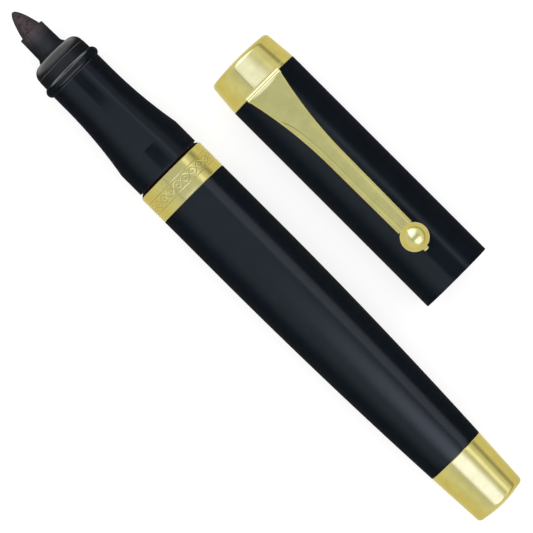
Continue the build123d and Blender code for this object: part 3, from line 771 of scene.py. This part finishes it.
def tail_cap():
    rim = pen_rear - TAIL_DOME
    spigot_end = tail_front + TAIL_SPIGOT
    corner_radius = TAIL_END_RADIUS - TAIL_FILLET
    dome = arc((rim, corner_radius), (pen_rear - TAIL_DOME / 4, corner_radius / 2), (pen_rear, 0), 24)
    edge = arc((rim - TAIL_FILLET, TAIL_END_RADIUS + 0.03 * MM),
               (rim - TAIL_FILLET * 0.25, TAIL_END_RADIUS - TAIL_FILLET * 0.25), dome[0], 10)
    points = outline(
        (tail_front, TAIL_SPIGOT_RADIUS),
        (tail_front, tail_radius - 0.07 * MM, EDGE / 2),
        (tail_front + 0.12 * MM, tail_radius - 0.008 * MM, EDGE / 2),
        *edge,
        *dome[1:],
        (spigot_end + TAIL_CAVITY, 0),
        (spigot_end + TAIL_CAVITY, TAIL_SPIGOT_RADIUS - TAIL_CAVITY_STEP),
        (spigot_end, TAIL_SPIGOT_RADIUS - TAIL_CAVITY_STEP),
        (spigot_end, TAIL_SPIGOT_RADIUS),
    )
    return turned("tail_cap", points, segments=192)


# ---- cap ----
def cap_tube():
    liner_end = cap_mouth - CAP_MOUTH_BORE_LENGTH
    end_wall = cap_front + CAP_END_WALL
    points = outline(
        (cap_front, CROWN_BOSS_RADIUS),
        (cap_front, cap_radius, SOFT_EDGE),
        (cap_mouth, cap_radius, SOFT_EDGE),
        (cap_mouth, CAP_BORE, SOFT_EDGE),
        (liner_end, CAP_BORE),
        (liner_end, CAP_REAR_BORE),
        (end_wall, CAP_REAR_BORE),
        (end_wall, CROWN_BOSS_RADIUS),
    )
    return turned("cap_tube", points, cap_place, segments=256)


def cap_crown():
    """Crown with a slightly domed top, which carries only two fine turned rings."""
    rear = crown_end + CROWN_LENGTH
    rim = crown_end + CROWN_DOME
    corner_radius = CROWN_END_RADIUS - CROWN_FILLET
    dome = arc((crown_end, 0), (crown_end + CROWN_DOME / 4, corner_radius / 2), (rim, corner_radius), 40)
    edge = arc(dome[-1], (rim + CROWN_FILLET * 0.27, CROWN_END_RADIUS - CROWN_FILLET * 0.25),
               (rim + CROWN_FILLET, CROWN_END_RADIUS + 0.03 * MM), 10)
    ring_places, ring_width, ring_depth = (3.6 * MM, 4.1 * MM), 0.09 * MM, 0.05 * MM
    grooved = list(dome)
    for place in ring_places:
        grooved = [point for point in grooved if abs(point[1] - place) > ring_width * 1.2]
    for place in ring_places:
        x = crown_end + CROWN_DOME * (place / corner_radius) ** 2
        grooved += [(x, place - ring_width), (x + ring_depth, place - ring_width / 2)]
        grooved += [(x + ring_depth, place + ring_width / 2), (x, place + ring_width)]
    grooved.sort(key=lambda point: point[1])
    boss_rear = cap_front + CAP_END_WALL
    points = outline(
        *grooved,
        *edge[1:],
        (rear - 0.10 * MM, CROWN_RADIUS - 0.01 * MM, EDGE / 2),
        (rear, CROWN_RADIUS - 0.08 * MM, EDGE / 2),
        (rear, CROWN_RADIUS - CROWN_WALL),
        (crown_end + CROWN_TOP, CROWN_END_RADIUS - CROWN_WALL),
        (crown_end + CROWN_TOP, CROWN_BOSS_RADIUS),
        (boss_rear, CROWN_BOSS_RADIUS),
        (boss_rear, SCREW_RADIUS),
        (crown_end + SCREW_END, SCREW_RADIUS),
        (crown_end + SCREW_END, 0),
    )
    return turned("cap_crown", points, cap_place, segments=192)


def clip_ring():
    """Washer under the crown; its ear ends in the round bar at the root of the clip."""
    front = crown_end + CROWN_LENGTH
    rear = front + CLIP_RING_THICKNESS
    bm = bmesh.new()
    washer = outline(
        (front, CROWN_BOSS_RADIUS),
        (front, CROWN_RADIUS, EDGE),
        (rear, CROWN_RADIUS, EDGE),
        (rear, CROWN_BOSS_RADIUS),
    )
    add_turned(bm, washer, 192)
    foot = math.sqrt(CROWN_RADIUS**2 - (CLIP_ROOT_WIDTH / 2) ** 2) - EAR_ROOT

    def keyhole(side, inset):
        """Section through ear and bar, shrunk by the inset."""
        radius = BAR_RADIUS - inset
        first = -math.pi / 2 - math.asin((bar_place.x - rear + inset) / BAR_RADIUS)
        sweep = math.radians(BAR_END) - first
        angles = [first + sweep * n / BAR_STEPS for n in range(BAR_STEPS + 1)]
        bar = [(bar_place.x + radius * math.cos(t), side, bar_place.z + radius * math.sin(t)) for t in angles]
        ear = [(front + inset, side, foot), (rear - inset, side, foot)]
        return [*ear, *bar, (front + inset, side, bar_place.z - BAR_RADIUS / 2)]

    corner = SOFT_EDGE
    half = CLIP_ROOT_WIDTH / 2 - corner
    quarters = [math.radians(22.5 * n) for n in range(5)]
    right = [(half + corner * math.sin(t), corner * (1 - math.cos(t))) for t in quarters]
    left = [(-side, inset) for side, inset in reversed(right)]
    add_loft(bm, [keyhole(side, inset) for side, inset in left + right])
    return finish_piece(bm, "clip_ring", cap_place)


def clip_half_width(reach):
    if reach < CLIP_FLARE:
        depth = (CLIP_ROOT_WIDTH - CLIP_WAIST_WIDTH) / 2
        return CLIP_WAIST_WIDTH / 2 + depth * (1 - reach / CLIP_FLARE) ** 2
    blade = ball_centre_x - bar_place.x - ball_radius - CLIP_FLARE
    return (CLIP_WAIST_WIDTH + (CLIP_END_WIDTH - CLIP_WAIST_WIDTH) * (reach - CLIP_FLARE) / blade) / 2


def clip_height(reach):
    return bar_place.z + (ball_place.z - bar_place.z) * reach / blade_length


def clip_section(reach):
    """Cross-section of the blade: a gently crowned face that rolls over into upright sides."""
    half = clip_half_width(reach)
    share = min(1.0, 2 * reach / CLIP_FLARE)
    crown = CLIP_CROWN * (CLIP_ROOT_CROWN + (1 - CLIP_ROOT_CROWN) * share)
    top = CLIP_THICKNESS / 2
    shoulder = half - CLIP_ROLLOVER
    edge = top - crown
    points = [(-half + SOFT_EDGE, -top), (0, -top), (half - SOFT_EDGE, -top), (half, -top + SOFT_EDGE)]
    turns = [math.radians(angle) for angle in ROLLOVER_ANGLES]
    right = [(shoulder + CLIP_ROLLOVER * math.cos(t), edge - CLIP_ROLLOVER_DROP * (1 - math.sin(t)))
             for t in turns]
    face = []
    for n in range(1, CLIP_FACE_STEPS):
        side = shoulder * math.cos(math.pi * n / CLIP_FACE_STEPS)
        face.append((side, edge + crown * (1 - (side / shoulder) ** 2)))
    left = [(-y, z) for y, z in reversed(right)]
    points += [*right, *face, *left, (-half, -top + SOFT_EDGE)]
    return [(bar_place.x + reach, y, clip_height(reach) + z) for y, z in points]


def clip_arm():
    """Crowned blade from the bar to the ball, with a collar, and a stud whose nub shows behind the ball."""
    hollow = BAR_RADIUS + BAR_GAP
    start = hollow + 0.05 * MM
    spans = 90
    bm = bmesh.new()
    hugging = []
    for x, y, z in clip_section(0.0):
        height = z - bar_place.z
        hugging.append((bar_place.x + math.sqrt(hollow**2 - height**2), y, z))
    rings = [hugging]
    rings += [clip_section(start + (blade_length - start) * n / spans) for n in range(spans + 1)]
    add_loft(bm, rings)
    collar_start = bar_place.x + blade_length
    collar_end = collar_start + CLIP_COLLAR
    nub_start = ball_centre_x + ball_radius - 0.1 * MM
    nub_end = ball_centre_x + ball_radius + NUB_LENGTH
    stud = outline(
        (collar_start - 0.2 * MM, 0),
        (collar_start - 0.2 * MM, CLIP_COLLAR_RADIUS * 0.8),
        (collar_start, CLIP_COLLAR_RADIUS, EDGE),
        (collar_end, CLIP_COLLAR_RADIUS, EDGE),
        (collar_end, STUD_RADIUS),
        (nub_start - 0.1 * MM, STUD_RADIUS),
        (nub_start, NUB_RADIUS),
        (nub_end, NUB_RADIUS, SOFT_EDGE * 2),
        (nub_end, 0),
    )
    lifted = bmesh.new()
    add_turned(lifted, stud, 64)
    lifted.transform(Matrix.Translation((0, 0, ball_place.z)))
    carrier = bpy.data.meshes.new("stud")
    lifted.to_mesh(carrier)
    lifted.free()
    bm.from_mesh(carrier)
    bpy.data.meshes.remove(carrier)
    return finish_piece(bm, "clip_arm", cap_place)


def clip_ball():
    """Ball turned in one piece, bored for the stud and counterbored for the collar."""
    collar_end = ball_centre_x - ball_radius + CLIP_COLLAR * 1.5
    front = ball_centre_x - math.sqrt(ball_radius**2 - CLIP_COLLAR_RADIUS**2)
    rear = ball_centre_x + math.sqrt(ball_radius**2 - STUD_RADIUS**2)
    shell = arc((front, CLIP_COLLAR_RADIUS), (ball_centre_x, ball_radius), (rear, STUD_RADIUS), 64)
    points = [*shell, (collar_end, STUD_RADIUS), (collar_end, CLIP_COLLAR_RADIUS)]
    place = cap_place @ Matrix.Translation((0, 0, ball_place.z))
    return turned("clip_ball", points, place, segments=96)


# ---- floor and light ----
FLOOR_SIZE = 4.0
FLOOR_GREY = 0.44
FLOOR_GLOW = 0.70
BACKDROP = 1.1              # strength of the white that the camera sees
GLOSS_BACKDROP = 0.05       # and of what reflections see behind the lamps
SKY_LOW, SKY_HIGH = 0.02, 1.7   # light from the horizon and from above


def link_stage(name, mesh):
    sheet = bpy.data.objects.new(name, mesh)
    bpy.context.scene.collection.objects.link(sheet)
    return sheet


def make_floor():
    """White ground that glows a little, so that only a faint contact shadow is left on it."""
    level = cad_box[0].z
    half = FLOOR_SIZE / 2
    mesh = bpy.data.meshes.new("floor")
    mesh.from_pydata([(-half, -half, level), (half, -half, level), (half, half, level), (-half, half, level)],
                     [], [(0, 1, 2, 3)])
    grey = colour(FLOOR_GREY, FLOOR_GREY, FLOOR_GREY)
    material = new_material("floor", Base_Color=grey, Roughness=1.0, Specular_IOR_Level=0.0,
                            Emission_Color=colour(1, 1, 1), Emission_Strength=FLOOR_GLOW)[0]
    mesh.materials.append(material)
    floor = link_stage("floor", mesh)
    floor.visible_glossy = False
    floor.visible_diffuse = False


def make_world():
    """White surroundings that light from above, and are dim in reflections to keep black gloss deep."""
    world = bpy.data.worlds.new("studio")
    bpy.context.scene.world = world
    world.use_nodes = True
    tree = world.node_tree
    tree.nodes.clear()
    rays = add_node(tree, "ShaderNodeLightPath")
    direction = add_node(tree, "ShaderNodeTexCoord").outputs["Generated"]
    up = add_node(tree, "ShaderNodeSeparateXYZ", None, Vector=direction).outputs["Z"]
    sky = add_node(tree, "ShaderNodeBackground", None, Color=colour(1, 1, 1),
                   Strength=scaled(tree, up, SKY_LOW, SKY_HIGH, 0.15, 1.0))
    dim = add_node(tree, "ShaderNodeBackground", None, Color=colour(0.95, 0.98, 1.0),
                   Strength=GLOSS_BACKDROP)
    white = add_node(tree, "ShaderNodeBackground", None, Color=colour(1, 1, 1), Strength=BACKDROP)
    lit = add_node(tree, "ShaderNodeMixShader", None, _0=rays.outputs["Is Glossy Ray"],
                   _1=sky.outputs[0], _2=dim.outputs[0])
    seen = add_node(tree, "ShaderNodeMixShader", None, _0=rays.outputs["Is Camera Ray"],
                    _1=lit.outputs[0], _2=white.outputs[0])
    add_node(tree, "ShaderNodeOutputWorld", None, Surface=seen.outputs[0])


def math_node(tree, operation, first, second=0.0):
    return add_node(tree, "ShaderNodeMath", {"operation": operation}, _0=first, _1=second).outputs[0]


def ramp(tree, value, start, end):
    """Rises smoothly from 0 at one angle to 1 at another, both in degrees."""
    node = add_node(tree, "ShaderNodeMapRange", {"interpolation_type": "SMOOTHSTEP"}, Value=value,
                    From_Min=math.radians(min(start, end)), From_Max=math.radians(max(start, end)),
                    To_Min=0.0 if start < end else 1.0, To_Max=1.0 if start < end else 0.0)
    return node.outputs["Result"]


def window(tree, value, low, low_full, high_full, high):
    """1 between the two middle angles, falling to 0 at the outer ones."""
    return math_node(tree, "MULTIPLY", ramp(tree, value, low, low_full), ramp(tree, value, high, high_full))


# Angles are in degrees from straight up: along the pen towards its rear, and across it.
# A window is four of them: dark, full, full, dark. A lamp is a window along, a window across and a colour.
DOME_RADIUS = {"nose": 19.0, "barrel": 20.0, "section": 21.0, "cap_black": 22.0, "pen_gold": 23.0,
               "cap_gold": 24.0, "nib": 25.0}
ALL_ALONG = (-80, -60, 60, 80)
ALL_ACROSS = (-220, -200, 200, 220)
PANEL = (ALL_ALONG, (-98, -42, 40, 54), (0.32, 0.37, 0.43))
NIB_PANEL = (ALL_ALONG, (-70, -20, 20, 70), (0.42, 0.47, 0.58))
NOSE_PANEL = (ALL_ALONG, (-98, -42, 40, 54), (0.22, 0.26, 0.31))
BARREL_STRIP = (ALL_ALONG, (34, 50, 57, 78), (0.66, 0.68, 0.78))
SECTION_STRIP = (ALL_ALONG, (34, 44, 58, 84), (0.22, 0.24, 0.28))
SOFT_STRIP = (ALL_ALONG, (34, 44, 50, 62), (0.14, 0.16, 0.18))
PEN_GOLD_STRIP = (ALL_ALONG, (38, 48, 52, 62), (0.42, 0.42, 0.60))
CAP_GOLD_STRIP = (ALL_ALONG, (38, 46, 52, 62), (0.12, 0.12, 0.18))
BARREL_REAR_LAMP = ((0, 10, 70, 85), (-42, -4, 4, 38), (1.05, 1.15, 1.40))
TAIL_LAMP = ((2, 6, 75, 88), (-38, -16, 10, 36), (0.70, 0.80, 2.1))
CROWN_LAMP = ((-120, -100, -11, -7), (-36, -20, 6, 50), (0.52, 0.60, 1.5))
BALL_FRONT_LAMP = ((-80, -65, -32, -18), (-40, 4, 34, 75), (0.6, 0.7, 1.4))
BALL_REAR_LAMP = ((8, 34, 52, 75), (-50, -8, 16, 55), (1.0, 1.1, 2.4))
NOSE_FRONT = ((-120, -100, -36, -18), ALL_ACROSS, (1.50, 1.45, 1.43))
LOW_FRONT = ((-85, -70, -52, -34), ALL_ACROSS, (1.9, 1.8, 1.7))
LOW_REAR = ((34, 52, 70, 85), (-100, -60, 50, 90), (1.3, 1.1, 1.0))
SEAT_PATCH = ((-12, -3.5, -1.35, -0.9), (-24, -8, 14, 36))
CLIP_PATCH = ((-0.4, 0.6, 6, 8), (-20, -4, 28, 44))
PATCH_LEVEL = 0.05          # share of the light that is left in a patch
GOLD_TENT = 0.68
TENT_TOP = 0.76             # share of the tent's glow that is left overhead
TENT_SIDE_HUE = (1.0, 0.96, 0.60)
TENT_TOP_HUE = (1.0, 1.14, 1.36)
PEN_GOLD_SEAMS = ((-31, 4, 0.3), (82, 18, 0.55))    # angle across, half width and depth of each
CAP_GOLD_SEAMS = ((-31, 2.5, 0.6), (84, 14, 0.55))


def surroundings(group, lamps, tent=0.0, seams=(), patch=None):
    """A far dome with lamps, which shows only in the gloss of one group of pieces.

    The tent is an even glow, dimmer and cooler overhead, with dark seams along the pen.
    The patch darkens a spot: its window along the pen and its window across it."""
    name = group + "_light"
    mesh = bpy.data.meshes.new(name)
    bm = bmesh.new()
    bmesh.ops.create_uvsphere(bm, u_segments=32, v_segments=16, radius=DOME_RADIUS[group])
    bm.to_mesh(mesh)
    bm.free()
    material = bpy.data.materials.new(name)
    material.use_nodes = True
    tree = material.node_tree
    tree.nodes.clear()
    place = add_node(tree, "ShaderNodeTexCoord").outputs["Object"]
    direction = add_node(tree, "ShaderNodeVectorMath", {"operation": "NORMALIZE"}, _0=place).outputs[0]
    parts = add_node(tree, "ShaderNodeSeparateXYZ", None, Vector=direction)
    up = parts.outputs["Z"]
    along = math_node(tree, "ARCSINE", parts.outputs["X"])
    across = math_node(tree, "ARCTAN2", parts.outputs["Y"], up)

    level = scaled(tree, up, tent, tent * TENT_TOP, 0.45, 1.0)
    for middle, half, depth in seams:
        dip = window(tree, across, middle - half, middle, middle, middle + half)
        level = math_node(tree, "MULTIPLY", level, scaled(tree, dip, 1.0, 1 - depth, 0.0, 1.0))
    hue = blended(tree, scaled(tree, up, 0, 1, -0.4, 1.0), colour(*TENT_SIDE_HUE), colour(*TENT_TOP_HUE))
    glow = add_node(tree, "ShaderNodeVectorMath", {"operation": "SCALE"}, _0=hue, Scale=level).outputs[0]
    for lamp_along, lamp_across, tint in lamps:
        share = math_node(tree, "MULTIPLY", window(tree, along, *lamp_along),
                          window(tree, across, *lamp_across))
        light = add_node(tree, "ShaderNodeVectorMath", {"operation": "SCALE"}, _0=tint, Scale=share)
        glow = add_node(tree, "ShaderNodeVectorMath", {"operation": "ADD"},
                        _0=glow, _1=light.outputs[0]).outputs[0]
    if patch:
        shade = math_node(tree, "MULTIPLY", window(tree, along, *patch[0]), window(tree, across, *patch[1]))
        glow = add_node(tree, "ShaderNodeVectorMath", {"operation": "SCALE"}, _0=glow,
                        Scale=scaled(tree, shade, 1.0, PATCH_LEVEL, 0.0, 1.0)).outputs[0]

    emission = add_node(tree, "ShaderNodeEmission", None, Color=glow, Strength=1.0)
    clear = add_node(tree, "ShaderNodeBsdfTransparent")
    both = add_node(tree, "ShaderNodeAddShader", None, _0=emission.outputs[0], _1=clear.outputs[0])
    add_node(tree, "ShaderNodeOutputMaterial", None, Surface=both.outputs[0])
    mesh.materials.append(material)
    dome = link_stage(name, mesh)
    dome.visible_camera = False
    dome.visible_shadow = False
    dome.visible_diffuse = False
    dome.visible_transmission = False
    receivers = bpy.data.collections.new(name)
    for piece in pieces[group]:
        receivers.objects.link(piece)
    dome.light_linking.receiver_collection = receivers


def make_lights():
    """Lighting for each group of pieces, as if pen and cap had been lit one after the other."""
    surroundings("barrel", (PANEL, BARREL_STRIP, BARREL_REAR_LAMP))
    surroundings("nib", (NIB_PANEL,))
    surroundings("nose", (NOSE_PANEL, SOFT_STRIP, NOSE_FRONT))
    surroundings("section", (PANEL, SECTION_STRIP, LOW_FRONT, LOW_REAR), patch=SEAT_PATCH)
    surroundings("cap_black", (PANEL, SOFT_STRIP), patch=CLIP_PATCH)
    surroundings("pen_gold", (PEN_GOLD_STRIP, TAIL_LAMP), GOLD_TENT, PEN_GOLD_SEAMS)
    surroundings("cap_gold", (CAP_GOLD_STRIP, CROWN_LAMP, BALL_FRONT_LAMP, BALL_REAR_LAMP), GOLD_TENT,
                 CAP_GOLD_SEAMS)


# ---- build ----
# All other nodes are inside the pen or the cap, and keep the CAD's own shapes.
makers = [felt_nib, nib_holder, front_ferrule, grip_section, section_liner, section_o_ring, barrel_bush,
          trim_band, barrel_tube, tail_cap, cap_tube, cap_crown, clip_ring, clip_arm, clip_ball]
rebuilt = {maker.__name__ for maker in makers}
pieces = {group: [] for group in DOME_RADIUS}
groups = {
    "cap_tube": "cap_black", "cap_crown": "cap_gold", "clip_ring": "cap_gold", "clip_arm": "cap_gold",
    "clip_ball": "cap_gold", "trim_band": "pen_gold", "tail_cap": "pen_gold", "grip_section": "section",
    "front_ferrule": "nose", "nib_holder": "nib", "felt_nib": "nib",
}

for maker in makers:
    node = maker.__name__
    piece = stand_for(maker(), node, materials[slots[node]])
    pieces[groups.get(node, "barrel")].append(piece)
for node, carried in frame["nodes"].items():
    for place in range(len(carried.material_slots)):
        carried.material_slots[place].material = materials[slots[node]]
    if node not in rebuilt:
        pieces[groups.get(node, "barrel")].append(carried)
for piece in itertools.chain(*pieces.values()):
    piece.visible_glossy = False    # pen and cap, lit one after the other, do not mirror each other

make_camera()
make_floor()
make_world()
make_lights()

bpy.context.scene.view_settings.view_transform = "Standard"
